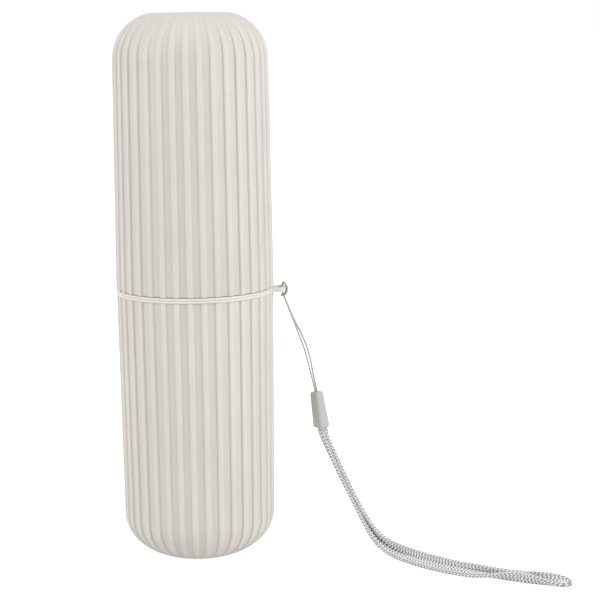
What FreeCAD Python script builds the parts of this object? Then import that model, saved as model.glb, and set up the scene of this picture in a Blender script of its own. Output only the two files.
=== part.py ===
"""Travel toothbrush case: two ribbed half shells, a swivelling carry ring and a wrist lanyard.

Millimetres. The base stands on Z = 0, the case's axis is Z and the ring's tab points along +X.
"""
import FreeCAD
import Part
import math
import os
import Sketcher

Vector = FreeCAD.Vector

# Driving dimensions in millimetres, degrees and counts
SIZES = {
    "overall_height": 205.0,
    "cup_height": 100.6,
    "cup_rim_radius": 29.6,
    "cap_overhang": 0.2,
    "draft_angle": 0.53,
    "corner_radius": 17.5,
    "corner_break": 12.0,
    "rib_count": 36,
    "groove_angle": 5.6,
    "groove_depth": 0.85,
    "groove_fade": 1.2,
    "cut_margin": 3.0,
    "floor_thickness": 2.4,
    "inner_corner": 15.0,
    "neck_step": 1.8,
    "neck_wall": 1.3,
    "neck_height": 12.0,
    "bead_place": 7.5,
    "bead_half": 0.6,
    "bead_radius": 1.9,
    "snap_half": 0.75,
    "snap_radius": 1.6,
    "cap_fit": 0.15,
    "cap_rim_chamfer": 0.5,
    "ring_height": 2.0,
    "ring_fit": 0.15,
    "ring_play": 0.1,
    "ring_groove": 0.35,
    "ring_groove_half": 0.4,
    "tab_bite": 1.0,
    "tab_reach": 4.6,
    "tab_half": 3.3,
    "tab_round": 2.0,
    "tab_thickness": 1.8,
    "tab_bar": 1.0,
    "slot_half": 2.0,
    "slot_length": 2.1,
    "slot_round": 0.9,
    "cord_diameter": 0.65,
    "sleeve_length": 13.8,
    "sleeve_wall": 0.6,
    "sleeve_taper": 2.1,
    "sleeve_edge_round": 1.0,
    "recess_length": 3.0,
    "cavity_width": 2.3,
    "cavity_depth": 3.6,
    "cavity_length": 9.4,
    "crimp_gap": 0.1,
    "cord_hole": 0.85,
    "cord_pitch": 1.0,
    "strap_width": 4.0,
    "strap_thickness": 1.4,
    "strap_gap": 0.2,
    "strap_fit": 0.2,
}

# Sizes that follow from the driving ones
DERIVED = {
    "cap_rim_radius": "=cup_rim_radius + cap_overhang",
    "neck_radius": "=cup_rim_radius - neck_step",
    "arc_rise": "=corner_radius * cos(corner_break)",
    "cup_wall_low": "=cup_rim_radius - (cup_height - arc_rise) * tan(draft_angle)",
    "base_flat": "=cup_wall_low - corner_radius * (1 - sin(corner_break))",
    "cup_groove_rim": "=cup_rim_radius - groove_depth",
    "cup_groove_low": "=cup_wall_low - groove_depth",
    "cup_fade": "=base_flat + groove_fade",
    "cup_groove_span": "=cup_groove_low - cup_fade",
    "cup_groove_arc": "=(cup_groove_span ^ 2 + arc_rise ^ 2) / (2 * cup_groove_span)",
    "cup_cut_edge": "=cup_rim_radius + cut_margin",
    "neck_inner": "=neck_radius - neck_wall",
    "neck_top": "=cup_height + neck_height",
    "bead_low": "=cup_height + bead_place - bead_half",
    "bead_high": "=cup_height + bead_place + bead_half",
    "cup_bore_end": "=floor_thickness + inner_corner",
    "cup_bore_low": "=neck_inner - (neck_top - cup_bore_end) * tan(draft_angle)",
    "cup_floor_flat": "=cup_bore_low - inner_corner",
    "ring_top": "=cup_height + ring_height",
    "ring_middle": "=cup_height + ring_height / 2",
    "ring_inner": "=neck_radius + ring_fit",
    "ring_groove_low": "=ring_middle - ring_groove_half",
    "ring_groove_high": "=ring_middle + ring_groove_half",
    "ring_groove_floor": "=cup_rim_radius - ring_groove",
    "cap_rim": "=ring_top + ring_play",
    "cap_arc_start": "=overall_height - arc_rise",
    "cap_wall_high": "=cap_rim_radius - (cap_arc_start - cap_rim) * tan(draft_angle)",
    "top_flat": "=cap_wall_high - corner_radius * (1 - sin(corner_break))",
    "cap_rim_flat": "=cap_rim_radius - cap_rim_chamfer",
    "cap_rim_side": "=cap_rim + cap_rim_chamfer",
    "cap_groove_rim": "=cap_rim_radius - groove_depth",
    "cap_groove_high": "=cap_wall_high - groove_depth",
    "cap_fade": "=top_flat + groove_fade",
    "cap_groove_span": "=cap_groove_high - cap_fade",
    "cap_groove_arc": "=(cap_groove_span ^ 2 + arc_rise ^ 2) / (2 * cap_groove_span)",
    "cap_cut_edge": "=cap_rim_radius + cut_margin",
    "socket_radius": "=neck_radius + cap_fit",
    "snap_low": "=cup_height + bead_place - snap_half",
    "snap_high": "=cup_height + bead_place + snap_half",
    "cap_bore_end": "=overall_height - floor_thickness - inner_corner",
    "cap_bore_high": "=neck_inner - (cap_bore_end - neck_top) * tan(draft_angle)",
    "cap_roof_flat": "=cap_bore_high - inner_corner",
    "cap_roof": "=overall_height - floor_thickness",
    "tab_root": "=cup_rim_radius - tab_bite",
    "tab_tip": "=cup_rim_radius + tab_reach",
    "tab_shoulder": "=tab_tip - tab_round",
    "tab_flank": "=tab_half - tab_round",
    "slot_outer": "=tab_tip - tab_bar",
    "slot_inner": "=slot_outer - slot_length",
    "slot_out_round": "=slot_outer - slot_round",
    "slot_in_round": "=slot_inner + slot_round",
    "slot_flank": "=slot_half - slot_round",
    "strap_pitch": "=strap_thickness + strap_gap",
    "recess_width": "=strap_pitch + strap_thickness + 2 * strap_fit",
    "recess_depth": "=strap_width + 2 * strap_fit",
    "sleeve_mouth_width": "=recess_width + 2 * sleeve_wall",
    "sleeve_mouth_depth": "=recess_depth + 2 * sleeve_wall",
    "crimp_width": "=cavity_width - 2 * crimp_gap",
    "crimp_depth": "=cavity_depth - 2 * crimp_gap",
    "crimp_length": "=cavity_length - recess_length",
}

# Places of the lanyard's pieces, read from the photograph with its camera
SLEEVE_MOUTH = Vector(47.3, -3.2, 48.6)
SLEEVE_TOP = Vector(45.4, -2.9, 62.3)
SLEEVE_TURN = 38.0

# The cord leaves the sleeve, hitches round the tab's bar and comes back
CORD_UP = (
    (44.45, -2.1, 68.1),
    (43.4, -1.6, 74.2),
    (42.0, -1.15, 79.6),
    (39.9, -0.75, 84.6),
    (37.3, -0.3, 90.0),
    (35.1, 0.15, 95.0),
)
HITCH = (
    (33.7, 0.35, 98.6),
    (32.75, 0.4, 100.4),
    (32.75, 0.45, 103.6),
    (34.0, 0.6, 104.5),
    (34.7, 0.8, 103.2),
    (34.7, 1.0, 100.4),
    (34.2, 1.15, 99.1),
    (32.75, 1.2, 98.85),
)
CORD_DOWN = (
    (34.95, -0.6, 95.0),
    (36.8, -1.0, 90.0),
    (39.0, -1.45, 84.2),
    (41.0, -1.85, 79.0),
    (42.4, -2.3, 73.6),
    (43.7, -2.75, 68.0),
)

# The strap hangs from the sleeve, lies on the table and folds back at its far end. Each point has the
# lean of the strap's width from upright in degrees, positive where its outer face looks down.
STRAP_NEAR = (
    (47.2, -3.7, 45.5, 50.0),
    (50.6, -4.2, 37.5, 66.0),
    (54.2, -5.1, 29.7, 73.0),
    (58.6, -6.0, 20.9, 74.0),
    (63.3, -7.6, 12.1, 75.0),
    (68.3, -10.7, 4.0, 80.0),
    (74.4, -14.8, 0.9, 90.0),
    (80.9, -22.6, 0.75, 90.0),
    (88.0, -29.6, 0.85, 88.0),
    (97.6, -37.0, 1.15, 80.0),
    (105.1, -41.2, 1.5, 70.0),
    (111.4, -43.4, 2.0, 50.0),
    (117.6, -45.6, 2.2, 6.0),
    (124.4, -49.2, 2.25, 14.0),
    (130.0, -52.0, 2.2, 16.0),
)
STRAP_FOLD = ((134.8, -53.4, 2.2, 12.0), (135.0, -48.9, 2.2, 12.0))
STRAP_FAR = (
    (130.4, -47.8, 2.2, 10.0),
    (125.2, -46.6, 2.25, 2.0),
    (118.6, -42.6, 2.0, -50.0),
    (111.4, -40.0, 1.95, -54.0),
    (104.6, -37.3, 2.2, -36.0),
    (97.4, -33.2, 2.25, -14.0),
    (90.8, -27.3, 2.2, -8.0),
    (83.8, -20.5, 2.2, -8.0),
    (76.6, -13.4, 2.35, -36.0),
    (69.7, -9.6, 5.4, -70.0),
    (65.0, -7.3, 13.1, -73.0),
    (60.1, -6.0, 21.7, -73.0),
    (55.7, -4.9, 30.4, -73.0),
    (52.3, -3.8, 38.3, -66.0),
    (48.75, -2.8, 45.4, -50.0),
)
MOUTH_LEAN = 42.0

FULL_TURN = 360.0
BEND_SHARE = 0.45
BEND_STATIONS = (0.0, 0.5, 1.0)


def new_sheet(doc):
    """The spreadsheet of driving and derived sizes, each cell under its own alias."""
    sheet = doc.addObject("Spreadsheet::Sheet", "Sizes")
    row = 1
    for name, value in {**SIZES, **DERIVED}.items():
        sheet.set(f"A{row}", name)
        sheet.set(f"B{row}", str(value))
        sheet.setAlias(f"B{row}", name)
        row += 1
    doc.recompute()
    return sheet


def value_of(sheet, name):
    """A size by its alias; a leading minus sign turns it over, and zero is the origin."""
    if name == "zero":
        return 0.0
    if name.startswith("-"):
        return -float(sheet.get(name[1:]))
    return float(sheet.get(name))


def bind(target, prop, name):
    """Ties a property to a cell of the sheet."""
    sign = "-" if name.startswith("-") else ""
    target.setExpression(prop, f"{sign}Sizes.{name.lstrip('-')}")


def origin_plane(body, role):
    return [f for f in body.Origin.OriginFeatures if f.Role == role][0]


def new_sketch(body, name, role, lift=None):
    """A sketch on one of the body's own planes, lifted along its normal by a named size."""
    sketch = body.newObject("Sketcher::SketchObject", name)
    sketch.AttachmentSupport = (origin_plane(body, role), [""])
    sketch.MapMode = "FlatFace"
    if lift:
        bind(sketch, "AttachmentOffset.Base.z", lift)
    return sketch


def arc_middle(start, end, radius, bulge):
    """Middle of the short arc from start to end; bulge is +1 to the left of the way, -1 to the right."""
    chord = end - start
    half = chord.Length / 2
    sagitta = radius - math.sqrt(radius ** 2 - half ** 2)
    side = Vector(-chord.y, chord.x, 0).normalize()
    return (start + end) / 2 + side * (bulge * sagitta)


def outline(sheet, sketch, corners, arcs=None):
    """A closed outline through corners named by their cells; arcs gives {edge: (radius cell, bulge)}."""
    arcs = arcs or {}
    points = [Vector(value_of(sheet, x), value_of(sheet, y), 0) for x, y in corners]
    edges = []
    for i, start in enumerate(points):
        end = points[(i + 1) % len(points)]
        if i in arcs:
            radius, bulge = arcs[i]
            middle = arc_middle(start, end, value_of(sheet, radius), bulge)
            edges.append(sketch.addGeometry(Part.Arc(start, middle, end)))
        else:
            edges.append(sketch.addGeometry(Part.LineSegment(start, end)))
    first = {}
    last = {}
    for i, edge in enumerate(edges):
        turned = i in arcs and arcs[i][1] > 0
        first[i], last[i] = (2, 1) if turned else (1, 2)
    for i, edge in enumerate(edges):
        following = (i + 1) % len(edges)
        sketch.addConstraint(
            Sketcher.Constraint("Coincident", edge, last[i], edges[following], first[following])
        )
    for i, (x, y) in enumerate(corners):
        for kind, name, axis in (("DistanceX", x, -2), ("DistanceY", y, -1)):
            if name == "zero":
                sketch.addConstraint(Sketcher.Constraint("PointOnObject", edges[i], first[i], axis))
                continue
            size = value_of(sheet, name)
            index = sketch.addConstraint(Sketcher.Constraint(kind, -1, 1, edges[i], first[i], size))
            bind(sketch, f"Constraints[{index}]", name)
    for i, (radius, bulge) in arcs.items():
        size = value_of(sheet, radius)
        index = sketch.addConstraint(Sketcher.Constraint("Radius", edges[i], size))
        bind(sketch, f"Constraints[{index}]", radius)


def ribbed_shell(doc, sheet, name, profile, profile_arcs, groove, groove_arcs):
    """A turned half shell with one fluted groove repeated round its axis."""
    body = doc.addObject("PartDesign::Body", name)
    section = new_sketch(body, f"{name}_section", "XZ_Plane")
    outline(sheet, section, profile, profile_arcs)
    turned = body.newObject("PartDesign::Revolution", f"{name}_turned")
    turned.Profile = section
    turned.ReferenceAxis = (section, ["V_Axis"])
    turned.Angle = FULL_TURN
    doc.recompute()
    plain = turned.Shape.Volume
    band = new_sketch(body, f"{name}_groove_band", "XZ_Plane")
    outline(sheet, band, groove, groove_arcs)
    flute = body.newObject("PartDesign::Groove", f"{name}_flute")
    flute.Profile = band
    flute.ReferenceAxis = (band, ["V_Axis"])
    flute.Midplane = True
    bind(flute, "Angle", "groove_angle")
    doc.recompute()
    pattern = body.newObject("PartDesign::PolarPattern", f"{name}_flutes")
    pattern.Originals = [flute]
    pattern.Axis = (band, ["V_Axis"])
    pattern.Angle = FULL_TURN
    bind(pattern, "Occurrences", "rib_count")
    body.Tip = pattern
    doc.recompute()
    one = plain - flute.Shape.Volume
    print(f"{name}: one flute takes {one:.1f} mm3, all take {plain - pattern.Shape.Volume:.1f} mm3")
    half_pitch = FULL_TURN / value_of(sheet, "rib_count") / 2
    body.Placement = FreeCAD.Placement(Vector(), FreeCAD.Rotation(Vector(0, 0, 1), half_pitch))
    return body


def make_cup(doc, sheet):
    """Lower half: ribbed wall, flat base, shoulder for the ring and a neck with a snap bead."""
    profile = [
        ("zero", "zero"),
        ("base_flat", "zero"),
        ("cup_wall_low", "arc_rise"),
        ("cup_rim_radius", "cup_height"),
        ("neck_radius", "cup_height"),
        ("neck_radius", "bead_low"),
        ("neck_radius", "bead_high"),
        ("neck_radius", "neck_top"),
        ("neck_inner", "neck_top"),
        ("cup_bore_low", "cup_bore_end"),
        ("cup_floor_flat", "floor_thickness"),
        ("zero", "floor_thickness"),
    ]
    arcs = {1: ("corner_radius", -1), 5: ("bead_radius", -1), 9: ("inner_corner", 1)}
    groove = [
        ("cup_fade", "zero"),
        ("cup_cut_edge", "zero"),
        ("cup_cut_edge", "ring_top"),
        ("cup_groove_rim", "ring_top"),
        ("cup_groove_rim", "cup_height"),
        ("cup_groove_low", "arc_rise"),
    ]
    return ribbed_shell(doc, sheet, "cup", profile, arcs, groove, {5: ("cup_groove_arc", 1)})


def make_cap(doc, sheet):
    """Upper half: ribbed wall, flat top and a socket that seats on the cup's neck."""
    profile = [
        ("zero", "overall_height"),
        ("top_flat", "overall_height"),
        ("cap_wall_high", "cap_arc_start"),
        ("cap_rim_radius", "cap_rim_side"),
        ("cap_rim_flat", "cap_rim"),
        ("socket_radius", "cap_rim"),
        ("socket_radius", "snap_low"),
        ("socket_radius", "snap_high"),
        ("socket_radius", "neck_top"),
        ("neck_inner", "neck_top"),
        ("cap_bore_high", "cap_bore_end"),
        ("cap_roof_flat", "cap_roof"),
        ("zero", "cap_roof"),
    ]
    arcs = {
        1: ("corner_radius", 1),
        6: ("snap_radius", -1),
        10: ("inner_corner", -1),
    }
    groove = [
        ("cap_fade", "overall_height"),
        ("cap_cut_edge", "overall_height"),
        ("cap_cut_edge", "cup_height"),
        ("cap_groove_rim", "cup_height"),
        ("cap_groove_rim", "cap_rim"),
        ("cap_groove_high", "cap_arc_start"),
    ]
    return ribbed_shell(doc, sheet, "cap", profile, arcs, groove, {5: ("cap_groove_arc", -1)})


def make_ring(doc, sheet):
    """Flat carry ring between the halves, with a grooved edge and a slotted tab."""
    body = doc.addObject("PartDesign::Body", "carry_ring")
    section = new_sketch(body, "ring_section", "XZ_Plane")
    corners = [
        ("ring_inner", "cup_height"),
        ("cup_rim_radius", "cup_height"),
        ("cup_rim_radius", "ring_groove_low"),
        ("ring_groove_floor", "ring_middle"),
        ("cup_rim_radius", "ring_groove_high"),
        ("cup_rim_radius", "ring_top"),
        ("ring_inner", "ring_top"),
    ]
    outline(sheet, section, corners)
    turned = body.newObject("PartDesign::Revolution", "ring_turned")
    turned.Profile = section
    turned.ReferenceAxis = (section, ["V_Axis"])
    turned.Angle = FULL_TURN
    doc.recompute()
    plate = new_sketch(body, "tab_outline", "XY_Plane", "ring_middle")
    corners = [
        ("tab_root", "-tab_half"),
        ("tab_shoulder", "-tab_half"),
        ("tab_tip", "-tab_flank"),
        ("tab_tip", "tab_flank"),
        ("tab_shoulder", "tab_half"),
        ("tab_root", "tab_half"),
    ]
    outline(sheet, plate, corners, {1: ("tab_round", -1), 3: ("tab_round", -1)})
    tab = body.newObject("PartDesign::Pad", "tab")
    tab.Profile = plate
    tab.Midplane = True
    bind(tab, "Length", "tab_thickness")
    doc.recompute()
    opening = new_sketch(body, "slot_outline", "XY_Plane", "ring_middle")
    corners = [
        ("slot_in_round", "-slot_half"),
        ("slot_out_round", "-slot_half"),
        ("slot_outer", "-slot_flank"),
        ("slot_outer", "slot_flank"),
        ("slot_out_round", "slot_half"),
        ("slot_in_round", "slot_half"),
        ("slot_inner", "slot_flank"),
        ("slot_inner", "-slot_flank"),
    ]
    rounds = {edge: ("slot_round", -1) for edge in (1, 3, 5, 7)}
    outline(sheet, opening, corners, rounds)
    slot = body.newObject("PartDesign::Pocket", "slot")
    slot.Profile = opening
    slot.Midplane = True
    bind(slot, "Length", "ring_height")
    body.Tip = slot
    doc.recompute()
    print(f"carry_ring: slot takes {tab.Shape.Volume - slot.Shape.Volume:.2f} mm3")
    return body


def sleeve_placement():
    """The sleeve's local Z runs from its mouth to its top, turned about that line."""
    axis = SLEEVE_TOP - SLEEVE_MOUTH
    lean = FreeCAD.Rotation(Vector(0, 0, 1), axis)
    return FreeCAD.Placement(SLEEVE_MOUTH, lean * FreeCAD.Rotation(Vector(0, 0, 1), SLEEVE_TURN))


def centred_rectangle(sketch, width, depth):
    """A rectangle about the sketch's origin, its two sizes tied to named cells."""
    corners = [(-1, -1), (1, -1), (1, 1), (-1, 1)]
    lines = []
    for (ax, ay), (bx, by) in zip(corners, corners[1:] + corners[:1]):
        lines.append(sketch.addGeometry(Part.LineSegment(Vector(ax, ay, 0), Vector(bx, by, 0))))
    for a, b in zip(lines, lines[1:] + lines[:1]):
        sketch.addConstraint(Sketcher.Constraint("Coincident", a, 2, b, 1))
    for line, way in zip(lines, ("Horizontal", "Vertical", "Horizontal", "Vertical")):
        sketch.addConstraint(Sketcher.Constraint(way, line))
    sketch.addConstraint(Sketcher.Constraint("Symmetric", lines[0], 1, lines[2], 1, -1, 1))
    for line, name in ((lines[0], width), (lines[1], depth)):
        index = sketch.addConstraint(Sketcher.Constraint("Distance", line, 2.0))
        bind(sketch, f"Constraints[{index}]", name)


def make_sleeve(doc, sheet):
    """Tapered moulded sleeve, open below for the strap, with two cord holes in its roof."""
    body = doc.addObject("PartDesign::Body", "cord_sleeve")
    mouth = new_sketch(body, "sleeve_mouth", "XY_Plane")
    centred_rectangle(mouth, "sleeve_mouth_width", "sleeve_mouth_depth")
    block = body.newObject("PartDesign::Pad", "sleeve_block")
    block.Profile = mouth
    bind(block, "Length", "sleeve_length")
    bind(block, "TaperAngle", "-sleeve_taper")
    doc.recompute()
    rounded = body.newObject("PartDesign::Fillet", "sleeve_rounds")
    raised = []
    for i, edge in enumerate(block.Shape.Edges, 1):
        if edge.BoundBox.ZMax > value_of(sheet, "cavity_length"):
            raised.append(f"Edge{i}")
    rounded.Base = (block, raised)
    bind(rounded, "Radius", "sleeve_edge_round")
    doc.recompute()
    rooms = {"recess": "strap ends", "cavity": "crimp"}
    cavity = rounded
    for room, guest in rooms.items():
        before = cavity.Shape.Volume
        section = new_sketch(body, f"{room}_outline", "XY_Plane")
        centred_rectangle(section, f"{room}_width", f"{room}_depth")
        cavity = body.newObject("PartDesign::Pocket", f"sleeve_{room}")
        cavity.Profile = section
        cavity.Reversed = True
        bind(cavity, "Length", f"{room}_length")
        doc.recompute()
        print(f"cord_sleeve: {room} for the {guest} takes {before - cavity.Shape.Volume:.1f} mm3")
    holes = new_sketch(body, "cord_holes_outline", "XY_Plane")
    for side in (-1, 1):
        centre = Vector(side, 0, 0)
        ring = holes.addGeometry(Part.Circle(centre, Vector(0, 0, 1), 1.0))
        index = holes.addConstraint(Sketcher.Constraint("Diameter", ring, 2.0))
        bind(holes, f"Constraints[{index}]", "cord_hole")
        holes.addConstraint(Sketcher.Constraint("PointOnObject", ring, 3, -1))
        index = holes.addConstraint(Sketcher.Constraint("DistanceX", -1, 1, ring, 3, side))
        holes.setExpression(f"Constraints[{index}]", f"{side} * Sizes.cord_pitch / 2")
    bores = body.newObject("PartDesign::Pocket", "cord_holes")
    bores.Profile = holes
    bores.Reversed = True
    bind(bores, "Length", "sleeve_length")
    body.Tip = bores
    doc.recompute()
    print(f"cord_sleeve: cord holes take {cavity.Shape.Volume - bores.Shape.Volume:.1f} mm3")
    body.Placement = sleeve_placement()
    return body


def make_crimp(doc, sheet):
    """Closed crimp inside the sleeve: the cord ends go in from above, the strap ends from below."""
    body = doc.addObject("PartDesign::Body", "strap_crimp")
    section = new_sketch(body, "crimp_outline", "XY_Plane", "recess_length")
    centred_rectangle(section, "crimp_width", "crimp_depth")
    block = body.newObject("PartDesign::Pad", "crimp_block")
    block.Profile = section
    bind(block, "Length", "crimp_length")
    body.Tip = block
    body.Placement = sleeve_placement()
    return body


def bent_route(points):
    """A wire of straight runs and tangent arcs through the points, and its smallest bend radius."""
    edges = []
    here = points[0]
    tightest = math.inf
    for before, corner, after in zip(points, points[1:], points[2:]):
        back = before - corner
        ahead = after - corner
        reach = BEND_SHARE * min(back.Length, ahead.Length)
        turn = math.pi - back.getAngle(ahead)
        radius = reach / math.tan(turn / 2)
        tightest = min(tightest, radius)
        start = corner + Vector(back).normalize() * reach
        end = corner + Vector(ahead).normalize() * reach
        inward = (Vector(back).normalize() + Vector(ahead).normalize()).normalize()
        middle = corner + inward * (radius / math.cos(turn / 2) - radius)
        edges.append(Part.LineSegment(here, start).toShape())
        edges.append(Part.Arc(start, middle, end).toShape())
        here = end
    edges.append(Part.LineSegment(here, points[-1]).toShape())
    return Part.Wire(edges), tightest


def sleeve_point(offset, height):
    """A point in the sleeve, offset across its width, at a height above its mouth."""
    return sleeve_placement().multVec(Vector(offset, 0, height))


def make_cord(doc, sheet):
    """Thin cord from the sleeve through the tab's slot, hitched round its bar and back."""
    half_pitch = value_of(sheet, "cord_pitch") / 2
    seat = value_of(sheet, "cavity_length")
    clear = value_of(sheet, "sleeve_length")
    up = [Vector(*p) for p in CORD_UP]
    down = [Vector(*p) for p in CORD_DOWN]
    hitch = [Vector(*p) for p in HITCH]
    mirrored = [Vector(p.x, -p.y, p.z) for p in reversed(hitch)]
    first = [sleeve_point(half_pitch, seat), sleeve_point(half_pitch, clear)]
    last = [sleeve_point(-half_pitch, clear), sleeve_point(-half_pitch, seat)]
    route, tightest = bent_route(first + up + hitch + mirrored + down + last)
    path = doc.addObject("Part::Feature", "cord_route")
    path.Shape = route
    circle = doc.addObject("Part::Circle", "cord_section")
    circle.setExpression("Radius", "Sizes.cord_diameter / 2")
    along = sleeve_placement().Rotation
    circle.Placement = FreeCAD.Placement(first[0], along)
    cord = doc.addObject("Part::Sweep", "wrist_cord")
    cord.Sections = [circle]
    cord.Spine = (path, [f"Edge{i}" for i in range(1, len(route.Edges) + 1)])
    cord.Solid = True
    cord.Frenet = False
    doc.recompute()
    area = math.pi * (value_of(sheet, "cord_diameter") / 2) ** 2
    print(f"wrist_cord: {route.Length:.1f} mm long, tightest bend {tightest:.2f} mm")
    print(f"wrist_cord: volume {cord.Shape.Volume:.2f}, section times length {area * route.Length:.2f} mm3")
    return cord


def strap_section(place, tangent, lean, width, thickness):
    """The strap's rectangle across its route, its width leaning from upright by an angle in degrees."""
    level = Vector(tangent.y, -tangent.x, 0).normalize()
    below = tangent.cross(level)
    normal = level * math.cos(math.radians(lean)) + below * math.sin(math.radians(lean))
    across = tangent.cross(normal) * (width / 2)
    normal = normal * (thickness / 2)
    corners = [place + across * a + normal * b for a, b in ((-1, -1), (1, -1), (1, 1), (-1, 1))]
    return Part.makePolygon(corners + corners[:1])


def bend_lean(before, corner, after, share):
    """The strap's lean within a bend, eased from the leans of the route's points on either side."""
    start = corner + (before - corner) * BEND_SHARE
    end = corner + (after - corner) * BEND_SHARE
    rest = 1 - share
    return start * rest ** 2 + corner * 2 * share * rest + end * share ** 2


def make_strap(doc, sheet):
    """Flat strap, folded into a narrow loop, with both ends against the crimp."""
    width = value_of(sheet, "strap_width")
    thickness = value_of(sheet, "strap_thickness")
    half_pitch = value_of(sheet, "strap_pitch") / 2
    deep = value_of(sheet, "recess_length")
    near = [sleeve_point(-half_pitch, deep), sleeve_point(-half_pitch, 0)]
    far = [sleeve_point(half_pitch, 0), sleeve_point(half_pitch, deep)]
    middle = STRAP_NEAR + STRAP_FOLD + STRAP_FAR
    leans = [MOUTH_LEAN, MOUTH_LEAN] + [lean for x, y, z, lean in middle] + [-MOUTH_LEAN, -MOUTH_LEAN]
    route, tightest = bent_route(near + [Vector(x, y, z) for x, y, z, lean in middle] + far)
    axis = (SLEEVE_MOUTH - SLEEVE_TOP).normalize()
    sections = [strap_section(near[0], axis, leans[0], width, thickness)]
    for i, edge in enumerate(route.Edges[1:-1:2]):
        for share in BEND_STATIONS:
            at = edge.FirstParameter + share * (edge.LastParameter - edge.FirstParameter)
            lean = bend_lean(*leans[i:i + 3], share)
            sections.append(strap_section(edge.valueAt(at), edge.tangentAt(at), lean, width, thickness))
    sections.append(strap_section(far[-1], -axis, leans[-1], width, thickness))
    strap = doc.addObject("Part::Feature", "wrist_strap")
    strap.Shape = Part.makeLoft(sections, True, True)
    expected = width * thickness * route.Length
    print(f"wrist_strap: {route.Length:.1f} mm long, tightest bend {tightest:.2f} mm")
    print(f"wrist_strap: volume {strap.Shape.Volume:.1f}, section times length {expected:.1f} mm3")
    print(f"wrist_strap: lowest point {strap.Shape.BoundBox.ZMin:.3f} mm")
    return strap


def check(doc):
    """Stops if any object of the document failed."""
    for item in doc.Objects:
        if "Invalid" in item.State or "Error" in item.State:
            raise RuntimeError(f"{item.Name} failed: {item.State}")


def export(pieces):
    os.makedirs("parts", exist_ok=True)
    for piece in pieces:
        shape = piece.Shape
        if shape.isNull() or not shape.isValid() or shape.Volume <= 0:
            raise RuntimeError(f"{piece.Label} has no valid shape")
        print(f"{piece.Label}: {len(shape.Solids)} solid, {len(shape.Faces)} faces, {shape.Volume:.1f} mm3")
        shape.exportStep(f"parts/{piece.Label}.step")


def main():
    doc = FreeCAD.newDocument("toothbrush_case")
    sheet = new_sheet(doc)
    pieces = [
        make_cup(doc, sheet),
        make_cap(doc, sheet),
        make_ring(doc, sheet),
        make_cord(doc, sheet),
        make_sleeve(doc, sheet),
        make_crimp(doc, sheet),
        make_strap(doc, sheet),
    ]
    doc.recompute()
    check(doc)
    export(pieces)


main()
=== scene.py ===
"""Looks of a travel toothbrush case: ribbed shells, a carry ring and a braided wrist lanyard. Metres."""
import bpy
import bmesh
import math
from mathutils import Euler, Matrix, Quaternion, Vector


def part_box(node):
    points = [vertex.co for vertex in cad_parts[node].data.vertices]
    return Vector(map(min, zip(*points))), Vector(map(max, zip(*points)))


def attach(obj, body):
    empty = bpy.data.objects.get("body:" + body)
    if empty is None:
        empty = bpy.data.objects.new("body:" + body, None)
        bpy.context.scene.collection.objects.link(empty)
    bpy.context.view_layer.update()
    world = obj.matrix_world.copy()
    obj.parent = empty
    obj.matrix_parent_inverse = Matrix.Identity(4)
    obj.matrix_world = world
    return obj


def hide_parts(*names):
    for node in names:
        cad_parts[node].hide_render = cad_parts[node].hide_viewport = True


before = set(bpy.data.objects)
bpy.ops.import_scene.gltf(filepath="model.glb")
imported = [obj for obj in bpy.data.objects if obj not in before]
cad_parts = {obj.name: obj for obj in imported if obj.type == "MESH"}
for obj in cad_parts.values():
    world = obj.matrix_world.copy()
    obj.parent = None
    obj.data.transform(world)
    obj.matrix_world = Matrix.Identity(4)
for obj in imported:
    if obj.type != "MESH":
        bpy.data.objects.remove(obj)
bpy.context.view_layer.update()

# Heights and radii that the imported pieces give
CUP_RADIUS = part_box("cup")[1].x
NECK_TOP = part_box("cup")[1].z
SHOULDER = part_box("carry_ring")[0].z
RING_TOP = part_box("carry_ring")[1].z
TAB_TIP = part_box("carry_ring")[1].x
CAP_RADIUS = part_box("cap")[1].x
CAP_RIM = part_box("cap")[0].z
CASE_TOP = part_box("cap")[1].z

# Moulded form of the two shells; a corner has its reach inwards and its rise along the axis
DRAFT = math.tan(math.radians(0.53))
CAP_CORNER = (0.0175, 0.0175)
CUP_CORNER = (0.0200, 0.0162)
CORNER_BREAK = math.radians(12.0)
FLOOR_THICKNESS = 0.0024
INNER_CORNER = 0.015
NECK_RADIUS = CUP_RADIUS - 0.0018
NECK_INNER = NECK_RADIUS - 0.0013
SOCKET_RADIUS = NECK_RADIUS + 0.00015
BEAD_HEIGHT = SHOULDER + 0.0075
BEAD_HALF = 0.0006
BEAD_RISE = 0.0001
SNAP_HALF = 0.00075
SNAP_DEPTH = 0.00018
CUP_EDGE_ROUND = 0.00025
CAP_EDGE_ROUND = 0.0005
CENTRE_DISC = 0.006

# Ribs and the flutes between them
RIB_COUNT = 36
FLUTE_DEPTH = 0.00085
RIB_HALF = math.radians(1.0)
FLOOR_START = math.radians(2.3)
FLANK_POWER = 2.6
FLUTE_FADE = math.radians(24.0)
CUP_FADE_POWER = 2.0
CAP_FADE_POWER = 1.35
CUP_RIM_INSET = FLUTE_DEPTH + 2.0 * CUP_EDGE_ROUND
CAP_RIM_INSET = FLUTE_DEPTH + 1.4 * CAP_EDGE_ROUND
RIB_STATIONS = (0.0, 0.8, 1.1, 1.35, 1.55, 1.75, 1.92, 2.08, 2.2, 2.3, 2.45, 3.6)
CORNER_STEPS = 22
INNER_STEPS = 10
ROUND_STEPS = 3
SHARP_ANGLE = math.radians(40.0)

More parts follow.
